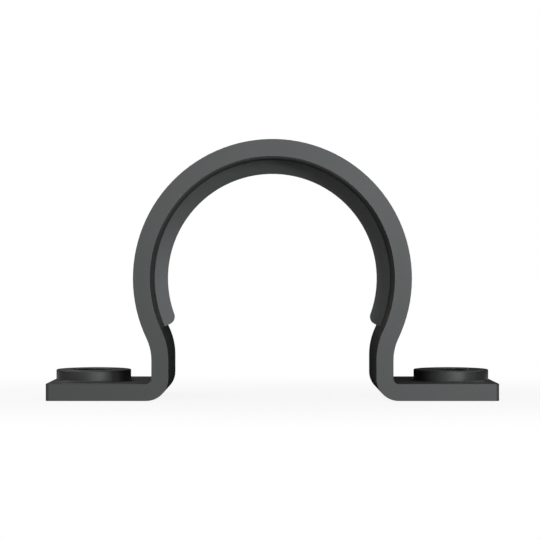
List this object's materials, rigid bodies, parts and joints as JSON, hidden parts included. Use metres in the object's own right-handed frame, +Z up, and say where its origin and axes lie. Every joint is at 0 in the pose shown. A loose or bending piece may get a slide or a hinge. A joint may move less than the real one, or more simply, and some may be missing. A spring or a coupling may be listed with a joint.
{
  "type": "omega clip",
  "caption": "One-piece moulded omega clip: an arch with an inner rib that snaps over a round duct, on two feet with raised screw bosses.",
  "frame": {"origin": "on the mounting surface, midway between the two screw holes and midway across the strap", "axes": "+X towards one foot, +Y along the duct, +Z up from the mounting surface to the crown of the arch"},
  "size_m": [0.139, 0.0404, 0.0802],
  "materials": {
    "clip_plastic": "dark grey moulded plastic, semi-matt"
  },
  "bodies": {
    "root": {"clip": "clip_plastic"}
  },
  "joints": []
}
